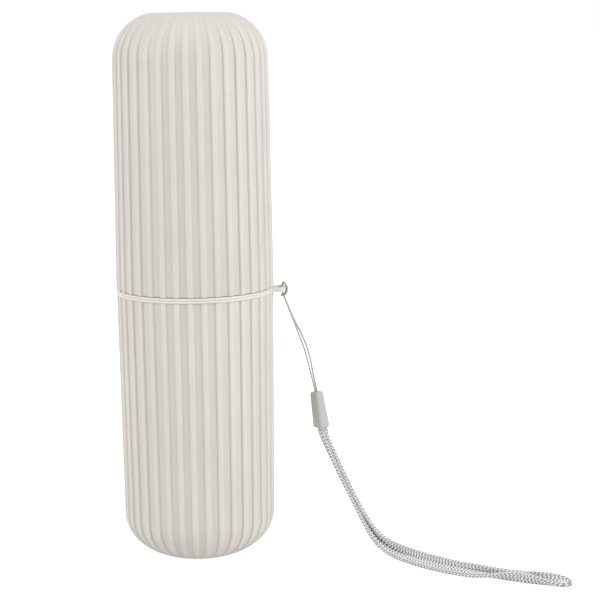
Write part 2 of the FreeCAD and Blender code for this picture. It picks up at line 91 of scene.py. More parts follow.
# Carry ring and its tab
RING_INNER = NECK_RADIUS + 0.00015
RING_STEPS = 180
RING_GROOVE = 0.0003
RING_LIP = 0.00025
RIDGE_SHARE = 0.92
TAB_ROOT = CUP_RADIUS - 0.0010
TAB_HALF = 0.0033
TAB_ROUND = 0.0020
TAB_THICKNESS = 0.0018
TAB_BAR = 0.0010
TAB_SOFTEN = 0.00045
SOFTEN_STEPS = 4
SOFTEN_ANGLE = math.radians(50.0)
SLOT_HALF = 0.0020
SLOT_LENGTH = 0.0021
SLOT_ROUND = 0.0009
ROUND_PARTS = 8

# Sleeve where the cord and the strap meet
SLEEVE_MOUTH = Vector((0.0473, -0.0032, 0.0486))
SLEEVE_TOP = Vector((0.0454, -0.0029, 0.0623))
SLEEVE_TURN = math.radians(38.0)
SLEEVE_LENGTH = 0.0138
SLEEVE_WIDTH = 0.0046
SLEEVE_DEPTH = 0.0056
SLEEVE_WALL = 0.0006
SLEEVE_TAPER = math.tan(math.radians(2.1))
SLEEVE_ROUND = 0.0010
SLEEVE_LIP = 0.00012
RECESS_LENGTH = 0.0030
CORD_HOLE = 0.00085

# Cord: from the sleeve up, round the tab's bar and back down, laid of twisted plies
CORD_DIAMETER = 0.00065
CORD_PITCH = 0.00078
CORD_SEAT = 0.0094
PLY_COUNT = 4
PLY_RADIUS = 0.26 * CORD_DIAMETER
PLY_OFFSET = 0.28 * CORD_DIAMETER
PLY_LAY = 0.0022
PLY_STEP = 0.0002
PLY_SIDES = 9
CORD_UP = (
    (0.04445, -0.0021, 0.0681),
    (0.0434, -0.0016, 0.0742),
    (0.0420, -0.00115, 0.0796),
    (0.0399, -0.00075, 0.0846),
    (0.0371, -0.0003, 0.0900),
    (0.0351, 0.00015, 0.0950),
)
HITCH = (
    (0.0337, 0.00035, 0.0986),
    (0.03275, 0.0004, 0.1004),
    (0.03290, 0.00045, 0.1034),
    (0.0335, 0.0006, 0.1043),
    (0.0342, 0.0008, 0.1034),
    (0.0346, 0.0010, 0.1013),
    (0.0340, 0.00115, 0.0996),
    (0.03275, 0.0012, 0.0991),
)
HITCH_BACK = (
    (0.03275, -0.0012, 0.0989),
    (0.0342, -0.00115, 0.0993),
    (0.03495, -0.0010, 0.1008),
    (0.0348, -0.0008, 0.1027),
    (0.0339, -0.0006, 0.1037),
    (0.0331, -0.00045, 0.1035),
    (0.03275, -0.0004, 0.1004),
    (0.0337, -0.00035, 0.0986),
)
CORD_DOWN = (
    (0.03495, -0.0006, 0.0950),
    (0.03690, -0.0010, 0.0900),
    (0.0390, -0.00145, 0.0842),
    (0.0410, -0.00185, 0.0790),
    (0.0424, -0.0023, 0.0736),
    (0.0437, -0.00275, 0.0680),
)

# Strap: place of its middle line and the lean of its width from upright, in degrees
STRAP_WIDTH = 0.0040
STRAP_THICKNESS = 0.0014
STRAP_SEATS = (-0.0005, 0.00085)
STRAP_NEAR = (
    (0.0474, -0.0037, 0.0455, 62.0),
    (0.0507, -0.0042, 0.0375, 70.0),
    (0.0542, -0.0051, 0.0297, 73.0),
    (0.0586, -0.0060, 0.0209, 74.0),
    (0.0633, -0.0076, 0.0121, 75.0),
    (0.0683, -0.0107, 0.0040, 80.0),
    (0.0746, -0.0147, 0.0010, 90.0),
    (0.0811, -0.0229, 0.0011, 100.0),
    (0.0882, -0.0302, 0.0013, 106.0),
    (0.0978, -0.0376, 0.0014, 102.0),
    (0.1051, -0.0418, 0.0015, 82.0),
    (0.1114, -0.0434, 0.0020, 50.0),
    (0.1176, -0.0456, 0.0022, 6.0),
    (0.1244, -0.0494, 0.0020, 42.0),
    (0.1300, -0.0520, 0.0015, 68.0),
)
STRAP_FOLD = ((0.1342, -0.0529, 0.0012, 78.0), (0.1344, -0.0493, 0.00135, 74.0))
STRAP_FAR = (
    (0.1304, -0.0479, 0.0020, 46.0),
    (0.1252, -0.0466, 0.00225, 2.0),
    (0.1186, -0.0426, 0.0020, -50.0),
    (0.1114, -0.0400, 0.00205, -40.0),
    (0.1046, -0.0371, 0.0022, -4.0),
    (0.0972, -0.0333, 0.0022, 16.0),
    (0.0906, -0.0275, 0.0022, 22.0),
    (0.0836, -0.0207, 0.0022, 24.0),
    (0.0767, -0.0131, 0.0027, -6.0),
    (0.0697, -0.0095, 0.0057, -44.0),
    (0.06462, -0.0076, 0.0129, -72.0),
    (0.05982, -0.0062, 0.0215, -73.0),
    (0.0557, -0.0049, 0.0304, -73.0),
    (0.0522, -0.0038, 0.0383, -70.0),
    (0.0486, -0.0028, 0.0454, -62.0),
)
MOUTH_LEAN = 42.0
ROUTE_STEPS = 10
ROUTE_ORDER = 3

# Braid of the strap: a core, columns of stitches on both faces and one row over each edge
CORE_SHARE = 0.94
CORE_STEP = 0.0007
STITCH_PITCH = 0.0014
STITCH_COLUMNS = 4
COLUMN_SPREAD = STITCH_COLUMNS + 0.2
STITCH_ANGLE = math.radians(38.0)
STITCH_SIZE = (0.00084, 0.00035, 0.00028)
STITCH_OUT = 0.41
EDGE_ANGLE = math.radians(28.0)
EDGE_SIZE = (0.00088, 0.00029, 0.00030)
EDGE_OUT = 0.46
LEAF_SEGMENTS = 6
LEAF_RINGS = 5

# Looks: a dark and a light shade, a low and a high roughness, scales of patterns and depths of relief
CASE_SHADES = ((0.695, 0.66, 0.62), (0.73, 0.695, 0.65))
CASE_ROUGHNESS = (0.46, 0.58)
RING_SHADES = ((0.75, 0.72, 0.68), (0.78, 0.75, 0.71))
RING_ROUGHNESS = (0.45, 0.55)
SLEEVE_SHADES = ((0.47, 0.465, 0.44), (0.53, 0.53, 0.505))
SLEEVE_ROUGHNESS = (0.35, 0.45)
CLOUD_SCALE = 55.0
GRAIN_SCALE = 2600.0
GRAIN_DEPTH = 0.00001
# Colour factor on the flute floors: painted shade that stands in for the grooves' occlusion
GROOVE_PAINTED_SHADE = 0.95
PLASTIC_GLOSS = 0.4
THREAD_SHADES = ((0.40, 0.40, 0.40), (0.57, 0.57, 0.56))
THREAD_ROUGHNESS = 0.42
THREAD_SHEEN = 0.2
THREAD_SCALE = 900.0
THREAD_CLOUDING = 0.5
THREAD_DEPTH = 0.00004
FILAMENTS_ALONG = 1500.0
FILAMENTS_AROUND = 8.0
# The core is painted much darker than the stitches, as painted shadow in the gaps between them
CORE_PAINTED_SHADOW_SHADES = ((0.29, 0.29, 0.29), (0.40, 0.40, 0.39))
STITCH_SHADES = ((0.82, 0.82, 0.81), (0.94, 0.94, 0.93))
FIBRE_ROUGHNESS = (0.4, 0.6)
FIBRE_SHEEN = 0.15
FIBRE_SCALE = 1400.0
FIBRE_DEPTH = 0.00005
CRIMP_SHADES = ((0.48, 0.48, 0.49), (0.6, 0.6, 0.61))
CRIMP_ROUGHNESS = (0.3, 0.5)
SCUFF_SCALE = 700.0
TINT_ENDS = (0.3, 0.7)

# Camera and light; a lamp has its place, its size and its power
CAMERA_PLACE = (0.04248, -0.63131, 0.19695)
CAMERA_TILT = math.radians(81.0094)
CAMERA_TURN = math.radians(0.258)
CAMERA_ROLL = math.radians(-0.7017)
CAMERA_LENS = 101.065
CAMERA_SENSOR = 36.0
LAMPS = {
    "left_softbox": ((-0.82, -0.4, 0.5), 0.7, 4.0),
    "right_softbox": ((0.86, -0.57, 0.5), 0.7, 5.1),
    "right_fill": ((1.0, -0.2, 0.35), 0.5, 0.75),
    "overhead_softbox": ((0.25, -0.05, 1.0), 0.5, 0.5),
}
LAMP_AIM = Vector((0.0, 0.0, 0.1))
AMBIENT = 0.56
FLOOR_HALF = 40.0
FLOOR_SHADE = (0.8, 0.8, 0.8)
FLOOR_ROUGHNESS = 0.9
FLOOR_GLOW = 0.84


# Small helpers for meshes and node trees
def new_object(name, data):
    """An object in the scene with its data."""
    piece = bpy.data.objects.new(name, data)
    bpy.context.scene.collection.objects.link(piece)
    return piece


def mesh_from(name, points, faces):
    """A smooth mesh with its faces turned outwards."""
    mesh = bpy.data.meshes.new(name)
    mesh.from_pydata([tuple(p) for p in points], [], faces)
    tidy = bmesh.new()
    tidy.from_mesh(mesh)
    bmesh.ops.recalc_face_normals(tidy, faces=tidy.faces)
    tidy.to_mesh(mesh)
    tidy.free()
    mesh.shade_smooth()
    return mesh


def add(tree, kind, inputs=None, **settings):
    """A node with its settings; each input is a value or another node's output."""
    node = tree.nodes.new(kind)
    for name, value in settings.items():
        setattr(node, name, value)
    for key, value in (inputs or {}).items():
        if isinstance(value, bpy.types.NodeSocket):
            tree.links.new(value, node.inputs[key])
        else:
            node.inputs[key].default_value = value
    return node


def maths(tree, operation, *terms):
    """The result of a sum on numbers."""
    node = add(tree, "ShaderNodeMath", dict(enumerate(terms)), operation=operation)
    return node.outputs[0]


def vectors(tree, operation, *terms):
    """The result of a sum on vectors."""
    node = add(tree, "ShaderNodeVectorMath", dict(enumerate(terms)), operation=operation)
    return node.outputs[0]


def scaled(tree, vector, factor):
    """A vector times a number."""
    node = add(tree, "ShaderNodeVectorMath", {0: vector, "Scale": factor}, operation="SCALE")
    return node.outputs[0]


def new_tree(name, inputs):
    """A Geometry Nodes tree with named inputs; returns the tree and its group input's sockets."""
    tree = bpy.data.node_groups.new(name, "GeometryNodeTree")
    tree.interface.new_socket("Geometry", in_out="INPUT", socket_type="NodeSocketGeometry")
    for label, kind in inputs.items():
        tree.interface.new_socket(label, in_out="INPUT", socket_type=f"NodeSocket{kind}")
    tree.interface.new_socket("Geometry", in_out="OUTPUT", socket_type="NodeSocketGeometry")
    return tree, tree.nodes.new("NodeGroupInput").outputs


def close_tree(tree, geometry, material):
    """Ends a tree: real geometry, smooth, in its material."""
    real = add(tree, "GeometryNodeRealizeInstances", {"Geometry": geometry})
    smooth = add(tree, "GeometryNodeSetShadeSmooth", {"Geometry": real.outputs[0]})
    coated = add(tree, "GeometryNodeSetMaterial", {"Geometry": smooth.outputs[0], "Material": material})
    add(tree, "NodeGroupOutput", {"Geometry": coated.outputs[0]})


def run_tree(piece, tree, values):
    """Runs a tree on a piece with its inputs set by name, and keeps the result as a plain mesh."""
    modifier = piece.modifiers.new(tree.name, "NODES")
    modifier.node_group = tree
    for item in tree.interface.items_tree:
        if item.in_out == "INPUT" and item.name in values:
            modifier[item.identifier] = values[item.name]
    graph = bpy.context.evaluated_depsgraph_get()
    mesh = bpy.data.meshes.new_from_object(
        piece.evaluated_get(graph), preserve_all_data_layers=True, depsgraph=graph
    )
    piece.modifiers.remove(modifier)
    piece.data = mesh
    return piece


def bake_modifiers(piece):
    """Turns a piece's modifiers into its plain mesh."""
    graph = bpy.context.evaluated_depsgraph_get()
    mesh = bpy.data.meshes.new_from_object(piece.evaluated_get(graph), depsgraph=graph)
    piece.modifiers.clear()
    piece.data = mesh


def coat(piece, material):
    """Gives a piece one material in place of those it has."""
    piece.data.materials.clear()
    piece.data.materials.append(material)


def finish_moulding(piece, material):
    """Smooth shading up to the sharp edges, and the moulding's material."""
    piece.data.shade_smooth()
    piece.data.set_sharp_from_angle(angle=SHARP_ANGLE)
    coat(piece, material)


# Materials
def new_material(name, colour, roughness):
    """A Principled material; returns it with its tree, its shader and its object coordinates."""
    material = bpy.data.materials.new(name)
    material.use_nodes = True
    tree = material.node_tree
    shader = tree.nodes["Principled BSDF"]
    shader.inputs["Base Color"].default_value = (*colour, 1.0)
    shader.inputs["Roughness"].default_value = roughness
    place = add(tree, "ShaderNodeTexCoord").outputs["Object"]
    return material, tree, shader, place


def noise(tree, place, scale, detail):
    """A cloudy pattern from 0 to 1."""
    node = add(tree, "ShaderNodeTexNoise", {"Vector": place, "Scale": scale, "Detail": detail})
    return node.outputs["Fac"]


def tint(tree, factor, shades):
    """A colour between a dark and a light shade by a factor."""
    ramp = tree.nodes.new("ShaderNodeValToRGB")
    for stop, shade, end in zip(ramp.color_ramp.elements, shades, TINT_ENDS):
        stop.color = (*shade, 1.0)
        stop.position = end
    tree.links.new(factor, ramp.inputs["Fac"])
    return ramp.outputs["Color"]


def span(tree, factor, low, high):
    """A factor from 0 to 1, spread from a low to a high value."""
    node = add(tree, "ShaderNodeMapRange", {"Value": factor, "To Min": low, "To Max": high})
    return node.outputs["Result"]


def bump(tree, shader, height, depth):
    """Fine relief on a material's surface."""
    node = add(tree, "ShaderNodeBump", {"Height": height, "Distance": depth, "Strength": 1.0})
    tree.links.new(node.outputs["Normal"], shader.inputs["Normal"])


def moulded_plastic(name, shades, roughness):
    """Matte moulded plastic: faint clouding, painted shade that darkens the flute floors, and a fine
    spark-eroded grain.
    """
    material, tree, shader, place = new_material(name, shades[1], roughness[1])
    clouds = noise(tree, place, CLOUD_SCALE, 4.0)
    # The groove mark darkens the flute floors: painted shade in the grooves
    groove = add(tree, "ShaderNodeAttribute", attribute_name="groove").outputs["Fac"]
    colour = scaled(tree, tint(tree, clouds, shades), span(tree, groove, 1.0, GROOVE_PAINTED_SHADE))
    tree.links.new(colour, shader.inputs["Base Color"])
    grain = noise(tree, place, GRAIN_SCALE, 2.0)
    tree.links.new(span(tree, grain, *roughness), shader.inputs["Roughness"])
    shader.inputs["Specular IOR Level"].default_value = PLASTIC_GLOSS
    bump(tree, shader, grain, GRAIN_DEPTH)
    return material


def twisted_thread():
    """Shiny synthetic cord: fine filaments that run round each ply."""
    material, tree, shader, place = new_material("twisted_thread", THREAD_SHADES[1], THREAD_ROUGHNESS)
    along = add(tree, "ShaderNodeAttribute", attribute_name="along").outputs["Fac"]
    around = add(tree, "ShaderNodeAttribute", attribute_name="around").outputs["Fac"]
    down = maths(tree, "MULTIPLY", along, FILAMENTS_ALONG)
    turn = maths(tree, "ADD", down, maths(tree, "MULTIPLY", around, FILAMENTS_AROUND))
    lines = maths(tree, "PINGPONG", turn, 0.5)
    clouds = maths(tree, "MULTIPLY", noise(tree, place, THREAD_SCALE, 3.0), THREAD_CLOUDING)
    shade = maths(tree, "ADD", lines, clouds)
    tree.links.new(tint(tree, shade, THREAD_SHADES), shader.inputs["Base Color"])
    shader.inputs["Sheen Weight"].default_value = THREAD_SHEEN
    bump(tree, shader, lines, THREAD_DEPTH)
    return material


def braid_fibre(name, shades):
    """Filament bundles of the braid, with fine flecks."""
    material, tree, shader, place = new_material(name, shades[1], FIBRE_ROUGHNESS[1])
    flecks = noise(tree, place, FIBRE_SCALE, 2.0)
    tree.links.new(tint(tree, flecks, shades), shader.inputs["Base Color"])
    tree.links.new(span(tree, flecks, *FIBRE_ROUGHNESS), shader.inputs["Roughness"])
    shader.inputs["Sheen Weight"].default_value = FIBRE_SHEEN
    bump(tree, shader, flecks, FIBRE_DEPTH)
    return material


def crimped_metal():
    """Dull stamped metal of the hidden crimp."""
    material, tree, shader, place = new_material("crimped_metal", CRIMP_SHADES[1], CRIMP_ROUGHNESS[1])
    scuffs = noise(tree, place, SCUFF_SCALE, 5.0)
    tree.links.new(span(tree, scuffs, *CRIMP_ROUGHNESS), shader.inputs["Roughness"])
    tree.links.new(tint(tree, scuffs, CRIMP_SHADES), shader.inputs["Base Color"])
    shader.inputs["Metallic"].default_value = 1.0
    return material


# Ribbed shells
def arc(centre, radius, start, end, steps):
    """Points of an arc in the section's plane, by its angle from straight down, outwards."""
    points = []
    for i in range(steps + 1):
        angle = start + (end - start) * i / steps
        points.append((centre[0] + radius * math.sin(angle), centre[1] - radius * math.cos(angle)))
    return points


def corner_section(wall_radius, end_height, way, corner, fade_power):
    """The rounded end of a shell from its middle to its wall, with each point's inward press."""
    reach, rise = corner
    centre = (wall_radius - reach, rise * math.cos(CORNER_BREAK))
    section = [(0.0, end_height, 0.0, 0.0), (CENTRE_DISC, end_height, 0.0, 0.0)]
    for i in range(CORNER_STEPS + 1):
        angle = CORNER_BREAK + (math.pi / 2 - CORNER_BREAK) * i / CORNER_STEPS
        fade = max(0.0, (angle - FLUTE_FADE) / (math.pi / 2 - FLUTE_FADE))
        press = 1.0 - (1.0 - fade) ** fade_power
        r = centre[0] + reach * math.sin(angle)
        z = centre[1] - rise * math.cos(angle)
        inward = Vector((-rise * math.sin(angle), reach * math.cos(angle))).normalized() * press
        section.append((r, end_height + way * z, inward.x, way * inward.y))
    return section


def inner_section(mouth_radius, mouth_height, end_height, way):
    """The inside of a shell from its mouth to the middle of its floor."""
    turn_height = end_height + way * (FLOOR_THICKNESS + INNER_CORNER)
    low_radius = mouth_radius - abs(mouth_height - turn_height) * DRAFT
    section = [(mouth_radius, mouth_height, 0.0, 0.0)]
    curve = arc((low_radius - INNER_CORNER, INNER_CORNER), INNER_CORNER, math.pi / 2, 0.0, INNER_STEPS)
    for r, z in curve:
        section.append((r, end_height + way * (FLOOR_THICKNESS + z), 0.0, 0.0))
    section.append((0.0, end_height + way * FLOOR_THICKNESS, 0.0, 0.0))
    return section


def rim_section(radius, height, size, way):
    """The rounded edge between a fluted wall and the flat of its rim."""
    section = []
    for i in range(ROUND_STEPS + 1):
        angle = math.pi / 2 * i / ROUND_STEPS
        r = radius - size + size * math.cos(angle)
        z = height - way * size * (1.0 - math.sin(angle))
        section.append((r, z, -1.0, 0.0))
    return section


def bulge_section(radius, height, half, rise):
    """A low round swell of a wall: the bead on the neck, or the groove for it in the cap."""
    steps = 2 * ROUND_STEPS
    section = []
    for i in range(steps + 1):
        share = i / steps
        r = radius + rise * math.sin(math.pi * share)
        section.append((r, height - half + 2 * half * share, 0.0, 0.0))
    return section


def cup_section():
    """Section of the cup: base, fluted wall, shoulder, neck with its bead, and inside."""
    wall_low = CUP_RADIUS - (SHOULDER - CUP_CORNER[1] * math.cos(CORNER_BREAK)) * DRAFT
    section = corner_section(wall_low, 0.0, 1, CUP_CORNER, CUP_FADE_POWER)
    section += rim_section(CUP_RADIUS, SHOULDER, CUP_EDGE_ROUND, 1)
    section += [(CUP_RADIUS - CUP_RIM_INSET, SHOULDER, 0.0, 0.0)]
    section += [(NECK_RADIUS, SHOULDER, 0.0, 0.0)]
    section += bulge_section(NECK_RADIUS, BEAD_HEIGHT, BEAD_HALF, BEAD_RISE)
    lip = CUP_EDGE_ROUND
    section += [(NECK_RADIUS, NECK_TOP - lip, 0.0, 0.0), (NECK_RADIUS - lip, NECK_TOP, 0.0, 0.0)]
    section += [(NECK_INNER + lip, NECK_TOP, 0.0, 0.0)]
    return section + inner_section(NECK_INNER, NECK_TOP - lip, 0.0, 1)


def cap_section():
    """Section of the cap: top, fluted wall, rim, socket with its groove, and inside."""
    rise = CAP_CORNER[1] * math.cos(CORNER_BREAK)
    wall_high = CAP_RADIUS - (CASE_TOP - rise - CAP_RIM) * DRAFT
    section = corner_section(wall_high, CASE_TOP, -1, CAP_CORNER, CAP_FADE_POWER)
    section += rim_section(CAP_RADIUS, CAP_RIM, CAP_EDGE_ROUND, -1)
    section += [(CAP_RADIUS - CAP_RIM_INSET, CAP_RIM, 0.0, 0.0)]
    section += [(SOCKET_RADIUS, CAP_RIM, 0.0, 0.0)]
    section += bulge_section(SOCKET_RADIUS, BEAD_HEIGHT, SNAP_HALF, SNAP_DEPTH)
    section += [(SOCKET_RADIUS, NECK_TOP, 0.0, 0.0)]
    return section + inner_section(NECK_INNER, NECK_TOP, CASE_TOP, -1)


def turned_shell(name, section):
    """A section turned round the case's axis, with stations close together at the ribs' sides."""
    half_pitch = 180.0 / RIB_COUNT
    one_rib = [-s for s in reversed(RIB_STATIONS[1:])] + list(RIB_STATIONS) + [half_pitch]
    angles = [math.radians(k * 2 * half_pitch + s) for k in range(RIB_COUNT) for s in one_rib]
    points = []
    presses = []
    rings = []
    for r, z, press_r, press_z in section:
        if r == 0.0:
            rings.append([len(points)])
            points.append((0.0, 0.0, z))
            presses.append((0.0, 0.0, 0.0))
            continue
        rings.append(list(range(len(points), len(points) + len(angles))))
        for angle in angles:
            points.append((r * math.cos(angle), r * math.sin(angle), z))
            presses.append((press_r * math.cos(angle), press_r * math.sin(angle), press_z))
    faces = []
    for low, high in zip(rings, rings[1:]):
        for i in range(len(angles)):
            j = (i + 1) % len(angles)
            corners = (low[i % len(low)], low[j % len(low)], high[j % len(high)], high[i % len(high)])
            faces.append(tuple(dict.fromkeys(corners)))
    mesh = mesh_from(name, points, faces)
    attribute = mesh.attributes.new("press", "FLOAT_VECTOR", "POINT")
    for item, press in zip(attribute.data, presses):
        item.vector = press
    return new_object(name, mesh)


def flute_tree():
    """Presses flutes into a turned shell, leaving round-edged ribs at an even pitch."""
    inputs = {"Rib Count": "Int", "Flute Depth": "Float", "Rib Half Angle": "Float"}
    inputs.update({"Floor Start Angle": "Float", "Flank Power": "Float", "Finish": "Material"})
    tree, given = new_tree("rib_flutes", inputs)
    place = add(tree, "GeometryNodeInputPosition").outputs[0]
    axes = add(tree, "ShaderNodeSeparateXYZ", {0: place}).outputs
    angle = maths(tree, "ARCTAN2", axes["Y"], axes["X"])
    pitch = maths(tree, "DIVIDE", math.tau, given["Rib Count"])
    turns = maths(tree, "DIVIDE", angle, pitch)
    nearest = maths(tree, "ROUND", turns)
    apart = maths(tree, "MULTIPLY", maths(tree, "ABSOLUTE", maths(tree, "SUBTRACT", turns, nearest)), pitch)
    side = add(
        tree,
        "ShaderNodeMapRange",
        {"Value": apart, "From Min": given["Rib Half Angle"], "From Max": given["Floor Start Angle"]},
    ).outputs["Result"]
    sunk = maths(tree, "POWER", side, given["Flank Power"])
    depth = maths(tree, "MULTIPLY", sunk, given["Flute Depth"])
    press = add(
        tree, "GeometryNodeInputNamedAttribute", {"Name": "press"}, data_type="FLOAT_VECTOR"
    ).outputs[0]
    moved = add(
        tree,
        "GeometryNodeSetPosition",
        {"Geometry": given["Geometry"], "Offset": scaled(tree, press, depth)},
    )
    reach = add(tree, "ShaderNodeVectorMath", {0: press}, operation="LENGTH").outputs["Value"]
    # The groove mark holds how far each point is sunk in a flute, for the painted shade on the floors
    marked = add(
        tree,
        "GeometryNodeStoreNamedAttribute",
        {"Geometry": moved.outputs[0], "Name": "groove", "Value": maths(tree, "MULTIPLY", sunk, reach)},
    )
    close_tree(tree, marked.outputs[0], given["Finish"])
    return tree


def make_shells(finish):
    """The cup and the cap, turned and then fluted."""
    tree = flute_tree()
    values = {
        "Rib Count": RIB_COUNT,
        "Flute Depth": FLUTE_DEPTH,
        "Rib Half Angle": RIB_HALF,
        "Floor Start Angle": FLOOR_START,
        "Flank Power": FLANK_POWER,
        "Finish": finish,
    }
    shells = {"cup": cup_section(), "cap": cap_section()}
    for node, section in shells.items():
        shell = run_tree(turned_shell(f"{node}_shell", section), tree, values)
        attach(shell, node)
        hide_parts(node)


# Carry ring
def ring_band():
    """The band of the ring: two round ridges with a groove between them."""
    middle = (SHOULDER + RING_TOP) / 2
    half = (RING_TOP - SHOULDER) / 2
    ridge = half / 2
    section = [(RING_INNER, SHOULDER), (CUP_RADIUS - 2 * RING_LIP, SHOULDER)]
    for centre in (middle - ridge, middle + ridge):
        for i in range(ROUND_PARTS + 1):
            angle = math.pi * i / ROUND_PARTS
            z = centre - ridge * RIDGE_SHARE * math.cos(angle)
            section.append((CUP_RADIUS - RING_GROOVE * (1.0 - math.sin(angle)), z))
    section += [(CUP_RADIUS - 2 * RING_LIP, RING_TOP), (RING_INNER, RING_TOP)]
    points = []
    for r, z in section:
        for k in range(RING_STEPS):
            angle = math.tau * k / RING_STEPS
            points.append((r * math.cos(angle), r * math.sin(angle), z))
    faces = []
    for s in range(len(section)):
        low = s * RING_STEPS
        high = (s + 1) % len(section) * RING_STEPS
        for k in range(RING_STEPS):
            n = (k + 1) % RING_STEPS
            faces.append((low + k, low + n, high + n, high + k))
    return new_object("carry_ring_piece", mesh_from("carry_ring_piece", points, faces))


def rounded_rectangle(x_low, x_high, half, radii):
    """Outline points of a rectangle about the X axis, its corners rounded by their own radii."""
    corners = [(x_low, -half, 180.0), (x_high, -half, 270.0), (x_high, half, 0.0), (x_low, half, 90.0)]
    outline = []
    for (x, y, start), radius in zip(corners, radii):
        if radius == 0.0:
            outline.append((x, y))
            continue
        cx = x + radius if x == x_low else x - radius
        cy = y + radius if y < 0 else y - radius
        for i in range(ROUND_PARTS + 1):
            angle = math.radians(start + 90.0 * i / ROUND_PARTS)
            outline.append((cx + radius * math.cos(angle), cy + radius * math.sin(angle)))
    return outline


def plate(name, outline, low, high):
    """An outline raised between two heights."""
    count = len(outline)
    points = [(x, y, z) for z in (low, high) for x, y in outline]
    faces = [tuple(range(count)), tuple(range(count, 2 * count))]
    for i in range(count):
        n = (i + 1) % count
        faces.append((i, n, count + n, count + i))
    return new_object(name, mesh_from(name, points, faces))


def cut_or_join(piece, other, operation):
    """Joins another solid to a piece, or cuts it away, and removes the other."""
    modifier = piece.modifiers.new(operation.lower(), "BOOLEAN")
    modifier.operation = operation
    modifier.solver = "EXACT"
    modifier.object = other
    bake_modifiers(piece)
    bpy.data.objects.remove(other)


def make_ring(finish):
    """Ring and slotted tab as one moulding; the tab's edges are soft, so its end is a round bar."""
    middle = (SHOULDER + RING_TOP) / 2
    outline = rounded_rectangle(TAB_ROOT, TAB_TIP, TAB_HALF, (0.0, TAB_ROUND, TAB_ROUND, 0.0))
    tab = plate("tab", outline, middle - TAB_THICKNESS / 2, middle + TAB_THICKNESS / 2)
    slot_end = TAB_TIP - TAB_BAR
    outline = rounded_rectangle(slot_end - SLOT_LENGTH, slot_end, SLOT_HALF, (SLOT_ROUND,) * 4)
    slot = plate("slot", outline, SHOULDER - TAB_THICKNESS, RING_TOP + TAB_THICKNESS)
    cut_or_join(tab, slot, "DIFFERENCE")
    soften = tab.modifiers.new("soften", "BEVEL")
    soften.width = TAB_SOFTEN
    soften.segments = SOFTEN_STEPS
    soften.limit_method = "ANGLE"
    soften.angle_limit = SOFTEN_ANGLE
    bake_modifiers(tab)
    ring = ring_band()
    cut_or_join(ring, tab, "UNION")
    finish_moulding(ring, finish)
    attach(ring, "carry_ring")
    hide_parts("carry_ring")


# Sleeve
def sleeve_frame():
    """Placement of the sleeve: its own Z runs from the mouth to the top."""
    lean = Vector((0.0, 0.0, 1.0)).rotation_difference(SLEEVE_TOP - SLEEVE_MOUTH)
    turn = Quaternion((0.0, 0.0, 1.0), SLEEVE_TURN)
    return Matrix.Translation(SLEEVE_MOUTH) @ (lean @ turn).to_matrix().to_4x4()


def sleeve_ring(width, depth, corner, height):
    """Outline of the sleeve at a height: a rectangle with round corners."""
    outline = rounded_rectangle(-width / 2, width / 2, depth / 2, (corner,) * 4)
    return [(x, y, height) for x, y in outline]


def sleeve_rings():
    """Rings of the sleeve from its recess's roof, round the mouth's lip and up to its rounded top."""
    recess = (SLEEVE_WIDTH - 2 * SLEEVE_WALL, SLEEVE_DEPTH - 2 * SLEEVE_WALL, SLEEVE_ROUND - SLEEVE_WALL)
    rings = [sleeve_ring(*recess, RECESS_LENGTH), sleeve_ring(*recess, 0.0)]
    lip = 2 * SLEEVE_LIP
    rings.append(sleeve_ring(SLEEVE_WIDTH - lip, SLEEVE_DEPTH - lip, SLEEVE_ROUND - SLEEVE_LIP, 0.0))
    rings.append(sleeve_ring(SLEEVE_WIDTH, SLEEVE_DEPTH, SLEEVE_ROUND, SLEEVE_LIP))
    for i in range(ROUND_PARTS + 1):
        angle = math.pi / 2 * i / ROUND_PARTS
        height = SLEEVE_LENGTH - SLEEVE_ROUND * (1.0 - math.sin(angle))
        inset = SLEEVE_ROUND * (1.0 - math.cos(angle))
        loss = 2 * (height * SLEEVE_TAPER + inset)
        corner = max(SLEEVE_ROUND - inset, SLEEVE_LIP)
        rings.append(sleeve_ring(SLEEVE_WIDTH - loss, SLEEVE_DEPTH - loss, corner, height))
    return rings


def make_sleeve(finish):
    """Tapered sleeve, open below where the strap goes in, with two holes in its top for the cord."""
    rings = sleeve_rings()
    count = len(rings[0])
    faces = [tuple(range(count)), tuple(range(len(rings) * count - count, len(rings) * count))]
    for low in range(0, (len(rings) - 1) * count, count):
        for i in range(count):
            n = (i + 1) % count
            faces.append((low + i, low + n, low + count + n, low + count + i))
    sleeve = new_object("sleeve_piece", mesh_from("sleeve_piece", sum(rings, []), faces))
    radius = CORD_HOLE / 2
    for middle in (-CORD_PITCH / 2, CORD_PITCH / 2):
        outline = rounded_rectangle(middle - radius, middle + radius, radius, (radius,) * 4)
        hole = plate("hole", outline, CORD_SEAT, SLEEVE_LENGTH + CORD_HOLE)
        cut_or_join(sleeve, hole, "DIFFERENCE")
    sleeve.data.transform(sleeve_frame())
    finish_moulding(sleeve, finish)
    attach(sleeve, "carry_ring")
    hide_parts("cord_sleeve")


# Routes of cord and strap
def nurbs_route(name, points):
    """A smooth line with the route's points as its control points, each with its lean."""
    curve = bpy.data.curves.new(name, "CURVE")
    curve.dimensions = "3D"
    curve.twist_mode = "Z_UP"
    curve.resolution_u = ROUTE_STEPS
    spline = curve.splines.new("NURBS")
    spline.points.add(len(points) - 1)
    for point, (x, y, z, lean) in zip(spline.points, points):
        point.co = (x, y, z, 1.0)
        point.tilt = math.radians(lean)
    spline.order_u = ROUTE_ORDER
    spline.use_endpoint_u = True
    return new_object(name, curve)


def line_points(route):
    """The points of a route's smooth line, in order."""
    graph = bpy.context.evaluated_depsgraph_get()
    line = bpy.data.meshes.new_from_object(route.evaluated_get(graph), depsgraph=graph)
    points = [v.co.copy() for v in line.vertices]
    bpy.data.meshes.remove(line)
    return points


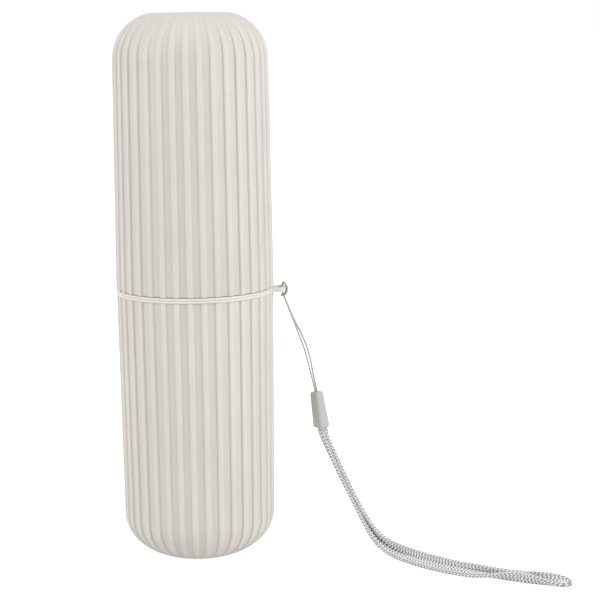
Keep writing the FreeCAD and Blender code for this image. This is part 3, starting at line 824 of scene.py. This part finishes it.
def cord_route():
    """The cord's line from one end in the sleeve to the other."""
    place = sleeve_frame()
    half = CORD_PITCH / 2
    first = [place @ Vector((half, 0.0, z)) for z in (CORD_SEAT, SLEEVE_LENGTH)]
    last = [place @ Vector((-half, 0.0, z)) for z in (SLEEVE_LENGTH, CORD_SEAT)]
    points = [*first, *CORD_UP, *HITCH, *HITCH_BACK, *CORD_DOWN, *last]
    return nurbs_route("cord_route", [(*p, 0.0) for p in points])


def strap_route():
    """The strap's line from one end in the sleeve's mouth to the other."""
    place = sleeve_frame()
    near = [place @ Vector((STRAP_SEATS[0], 0.0, z)) for z in (RECESS_LENGTH, 0.0)]
    far = [place @ Vector((STRAP_SEATS[1], 0.0, z)) for z in (0.0, RECESS_LENGTH)]
    points = [(*p, MOUTH_LEAN) for p in near]
    points += [*STRAP_NEAR, *STRAP_FOLD, *STRAP_FAR]
    points += [(*p, -MOUTH_LEAN) for p in far]
    return nurbs_route("strap_route", points)


# Twisted cord
def cord_tree():
    """Plies laid round the route's line."""
    inputs = {"Route": "Object", "Ply Radius": "Float", "Ply Offset": "Float"}
    inputs.update({"Lay Length": "Float", "Step": "Float", "Finish": "Material"})
    tree, given = new_tree("twisted_cord", inputs)
    line = add(tree, "GeometryNodeObjectInfo", {"Object": given["Route"]}).outputs["Geometry"]
    smooth = add(tree, "GeometryNodeSetCurveNormal", {"Curve": line}, mode="MINIMUM_TWIST").outputs[0]
    fine = add(
        tree, "GeometryNodeResampleCurve", {"Curve": smooth, "Length": given["Step"]}, mode="LENGTH"
    ).outputs[0]
    run = add(tree, "GeometryNodeSplineParameter").outputs["Length"]
    fine = add(
        tree, "GeometryNodeStoreNamedAttribute", {"Geometry": fine, "Name": "along", "Value": run}
    ).outputs[0]
    normal = add(tree, "GeometryNodeInputNormal").outputs[0]
    tangent = add(tree, "GeometryNodeInputTangent").outputs[0]
    across = vectors(tree, "CROSS_PRODUCT", tangent, normal)
    circle = add(
        tree, "GeometryNodeCurvePrimitiveCircle", {"Resolution": PLY_SIDES, "Radius": given["Ply Radius"]}
    ).outputs[0]
    share = add(tree, "GeometryNodeSplineParameter").outputs["Factor"]
    circle = add(
        tree, "GeometryNodeStoreNamedAttribute", {"Geometry": circle, "Name": "around", "Value": share}
    ).outputs[0]
    twist = maths(tree, "MULTIPLY", maths(tree, "DIVIDE", run, given["Lay Length"]), math.tau)
    plies = add(tree, "GeometryNodeJoinGeometry")
    for ply in range(PLY_COUNT):
        angle = maths(tree, "ADD", twist, math.tau * ply / PLY_COUNT)
        reach = vectors(
            tree,
            "ADD",
            scaled(tree, normal, maths(tree, "COSINE", angle)),
            scaled(tree, across, maths(tree, "SINE", angle)),
        )
        moved = add(
            tree,
            "GeometryNodeSetPosition",
            {"Geometry": fine, "Offset": scaled(tree, reach, given["Ply Offset"])},
        ).outputs[0]
        tube = add(
            tree, "GeometryNodeCurveToMesh", {"Curve": moved, "Profile Curve": circle, "Fill Caps": True}
        ).outputs[0]
        tree.links.new(tube, plies.inputs[0])
    close_tree(tree, plies.outputs[0], given["Finish"])
    return tree


def make_cord(finish):
    """The cord on its route, riding on the ring."""
    route = cord_route()
    path = line_points(route)
    values = {
        "Route": route,
        "Ply Radius": PLY_RADIUS,
        "Ply Offset": PLY_OFFSET,
        "Lay Length": PLY_LAY,
        "Step": PLY_STEP,
        "Finish": finish,
    }
    cord = new_object("hitched_cord", bpy.data.meshes.new("hitched_cord"))
    run_tree(cord, cord_tree(), values)
    bpy.data.objects.remove(route)
    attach(cord, "carry_ring")
    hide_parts("wrist_cord")


# Braided strap
def stitch_rows(tree, line, given, rows, across_of, out_of, turn_of, size, axis):
    """Rows of leaf-shaped stitches along the route; each row has its own place and slant."""
    length = add(tree, "GeometryNodeCurveLength", {"Curve": line}).outputs[0]
    count = maths(tree, "FLOOR", maths(tree, "DIVIDE", length, given["Stitch Pitch"]))
    total = maths(tree, "MULTIPLY", count, rows)
    points = add(tree, "GeometryNodePoints", {"Count": total}).outputs[0]
    index = add(tree, "GeometryNodeInputIndex").outputs[0]
    row = maths(tree, "MODULO", index, rows)
    step = maths(tree, "FLOOR", maths(tree, "DIVIDE", index, rows))
    run = maths(tree, "MULTIPLY", maths(tree, "ADD", step, 0.5), given["Stitch Pitch"])
    found = add(
        tree, "GeometryNodeSampleCurve", {"Curves": line, "Length": run}, mode="LENGTH", use_all_curves=True
    ).outputs
    normal = found["Normal"]
    tangent = found["Tangent"]
    across = vectors(tree, "CROSS_PRODUCT", tangent, normal)
    place = vectors(
        tree,
        "ADD",
        found["Position"],
        vectors(tree, "ADD", scaled(tree, across, across_of(row)), scaled(tree, normal, out_of(row))),
    )
    facing = {"normal": normal, "across": across}[axis]
    turned = add(
        tree,
        "FunctionNodeAxesToRotation",
        {"Primary Axis": tangent, "Secondary Axis": facing},
        primary_axis="X",
        secondary_axis="Z",
    ).outputs[0]
    slant = add(
        tree, "FunctionNodeAxisAngleToRotation", {"Axis": (0.0, 0.0, 1.0), "Angle": turn_of(row)}
    ).outputs[0]
    turned = add(
        tree,
        "FunctionNodeRotateRotation",
        {"Rotation": turned, "Rotate By": slant},
        rotation_space="LOCAL",
    ).outputs[0]
    leaf = add(
        tree,
        "GeometryNodeMeshUVSphere",
        {"Segments": LEAF_SEGMENTS, "Rings": LEAF_RINGS, "Radius": 1.0},
    ).outputs[0]
    placed = add(tree, "GeometryNodeSetPosition", {"Geometry": points, "Position": place}).outputs[0]
    return add(
        tree,
        "GeometryNodeInstanceOnPoints",
        {"Points": placed, "Instance": leaf, "Rotation": turned, "Scale": size},
    ).outputs[0]


def strap_tree():
    """A flat core with slanted stitches in columns on both faces and over both edges."""
    inputs = {"Route": "Object", "Width": "Float", "Thickness": "Float", "Stitch Pitch": "Float"}
    inputs.update({"Core Finish": "Material", "Stitch Finish": "Material"})
    tree, given = new_tree("braided_strap", inputs)
    line = add(tree, "GeometryNodeObjectInfo", {"Object": given["Route"]}).outputs["Geometry"]
    line = add(
        tree, "GeometryNodeResampleCurve", {"Curve": line, "Length": CORE_STEP}, mode="LENGTH"
    ).outputs[0]
    core_width = maths(tree, "MULTIPLY", given["Width"], CORE_SHARE)
    core_thickness = maths(tree, "MULTIPLY", given["Thickness"], CORE_SHARE)
    section = add(
        tree, "GeometryNodeCurvePrimitiveQuadrilateral", {"Width": core_thickness, "Height": core_width}
    ).outputs[0]
    core = add(
        tree, "GeometryNodeCurveToMesh", {"Curve": line, "Profile Curve": section, "Fill Caps": True}
    ).outputs[0]
    core = add(
        tree, "GeometryNodeSetMaterial", {"Geometry": core, "Material": given["Core Finish"]}
    ).outputs[0]
    column_pitch = maths(tree, "DIVIDE", given["Width"], COLUMN_SPREAD)
    face_out = maths(tree, "MULTIPLY", given["Thickness"], STITCH_OUT)
    edge_out = maths(tree, "MULTIPLY", given["Width"], EDGE_OUT)

    def parity(row):
        odd = maths(tree, "MODULO", row, 2.0)
        return maths(tree, "SUBTRACT", maths(tree, "MULTIPLY", odd, 2.0), 1.0)

    def column_place(row):
        column = maths(tree, "MODULO", row, STITCH_COLUMNS)
        from_middle = maths(tree, "SUBTRACT", column, (STITCH_COLUMNS - 1) / 2)
        return maths(tree, "MULTIPLY", from_middle, column_pitch)

    def face_place(row):
        behind = maths(tree, "GREATER_THAN", row, STITCH_COLUMNS - 0.5)
        face = maths(tree, "SUBTRACT", 1.0, maths(tree, "MULTIPLY", behind, 2.0))
        return maths(tree, "MULTIPLY", face, face_out)

    faces = stitch_rows(
        tree,
        line,
        given,
        2 * STITCH_COLUMNS,
        column_place,
        face_place,
        lambda row: maths(tree, "MULTIPLY", parity(row), STITCH_ANGLE),
        STITCH_SIZE,
        "normal",
    )
    edges = stitch_rows(
        tree,
        line,
        given,
        2,
        lambda row: maths(tree, "MULTIPLY", parity(row), edge_out),
        lambda row: 0.0,
        lambda row: maths(tree, "MULTIPLY", parity(row), EDGE_ANGLE),
        EDGE_SIZE,
        "across",
    )
    stitches = add(tree, "GeometryNodeJoinGeometry")
    tree.links.new(faces, stitches.inputs[0])
    tree.links.new(edges, stitches.inputs[0])
    real = add(tree, "GeometryNodeRealizeInstances", {"Geometry": stitches.outputs[0]}).outputs[0]
    real = add(
        tree, "GeometryNodeSetMaterial", {"Geometry": real, "Material": given["Stitch Finish"]}
    ).outputs[0]
    real = add(tree, "GeometryNodeSetShadeSmooth", {"Geometry": real}).outputs[0]
    whole = add(tree, "GeometryNodeJoinGeometry")
    tree.links.new(core, whole.inputs[0])
    tree.links.new(real, whole.inputs[0])
    add(tree, "NodeGroupOutput", {"Geometry": whole.outputs[0]})
    return tree


def make_strap(core_finish, stitch_finish):
    """The strap on its route, riding on the ring."""
    route = strap_route()
    path = line_points(route)
    values = {
        "Route": route,
        "Width": STRAP_WIDTH,
        "Thickness": STRAP_THICKNESS,
        "Stitch Pitch": STITCH_PITCH,
        "Core Finish": core_finish,
        "Stitch Finish": stitch_finish,
    }
    strap = new_object("braided_strap", bpy.data.meshes.new("braided_strap"))
    run_tree(strap, strap_tree(), values)
    bpy.data.objects.remove(route)
    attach(strap, "carry_ring")
    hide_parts("wrist_strap")


# Stage
def make_camera():
    """The photograph's camera."""
    data = bpy.data.cameras.new("photo_camera")
    data.sensor_width = CAMERA_SENSOR
    data.lens = CAMERA_LENS
    camera = new_object("photo_camera", data)
    turn = Euler((CAMERA_TILT, 0.0, CAMERA_TURN)).to_matrix() @ Matrix.Rotation(CAMERA_ROLL, 3, "Z")
    camera.matrix_world = Matrix.Translation(CAMERA_PLACE) @ turn.to_4x4()
    bpy.context.scene.camera = camera


def make_lamp(name, place, size, power):
    """A square softbox that looks at the case."""
    data = bpy.data.lights.new(name, "AREA")
    data.shape = "SQUARE"
    data.size = size
    data.energy = power
    lamp = new_object(name, data)
    lamp.location = place
    aim = LAMP_AIM - Vector(place)
    lamp.rotation_euler = aim.to_track_quat("-Z", "Y").to_euler()


def seen_directly(tree):
    """1 for rays that show the background itself: from the camera, a reflection or glass."""
    rays = add(tree, "ShaderNodeLightPath").outputs
    shown = maths(tree, "MAXIMUM", rays["Is Camera Ray"], rays["Is Glossy Ray"])
    return maths(tree, "MAXIMUM", shown, rays["Is Transmission Ray"])


def make_world():
    """White where it is seen directly, and dimmer as a light."""
    world = bpy.data.worlds.new("white_room")
    bpy.context.scene.world = world
    world.use_nodes = True
    tree = world.node_tree
    back = tree.nodes["Background"]
    back.inputs["Color"].default_value = (1.0, 1.0, 1.0, 1.0)
    tree.links.new(span(tree, seen_directly(tree), AMBIENT, 1.0), back.inputs["Strength"])


def make_floor():
    """A white floor that glows where it is seen directly, so that shadows on it stay faint."""
    half = FLOOR_HALF
    outline = [(-half, -half), (half, -half), (half, half), (-half, half)]
    mesh = bpy.data.meshes.new("floor")
    mesh.from_pydata([(x, y, 0.0) for x, y in outline], [], [(0, 1, 2, 3)])
    floor = new_object("floor", mesh)
    material, tree, shader, _ = new_material("white_floor", FLOOR_SHADE, FLOOR_ROUGHNESS)
    shader.inputs["Specular IOR Level"].default_value = 0.0
    glow = maths(tree, "MULTIPLY", seen_directly(tree), FLOOR_GLOW)
    light = add(tree, "ShaderNodeEmission", {"Strength": glow})
    both = add(tree, "ShaderNodeAddShader", {0: shader.outputs[0], 1: light.outputs[0]})
    tree.links.new(both.outputs[0], tree.nodes["Material Output"].inputs["Surface"])
    floor.data.materials.append(material)


# The stage, then the pieces
make_camera()
make_world()
make_floor()
for lamp_name, lamp_values in LAMPS.items():
    make_lamp(lamp_name, *lamp_values)
bpy.context.scene.view_settings.view_transform = "Standard"

make_cord(twisted_thread())
# The strap's core is dark as painted shadow between the stitches
make_strap(braid_fibre("strap_core_painted_shadow", CORE_PAINTED_SHADOW_SHADES), braid_fibre("strap_stitches", STITCH_SHADES))
make_shells(moulded_plastic("case_plastic", CASE_SHADES, CASE_ROUGHNESS))
make_ring(moulded_plastic("ring_plastic", RING_SHADES, RING_ROUGHNESS))
coat(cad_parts["strap_crimp"], crimped_metal())
make_sleeve(moulded_plastic("sleeve_plastic", SLEEVE_SHADES, SLEEVE_ROUGHNESS))
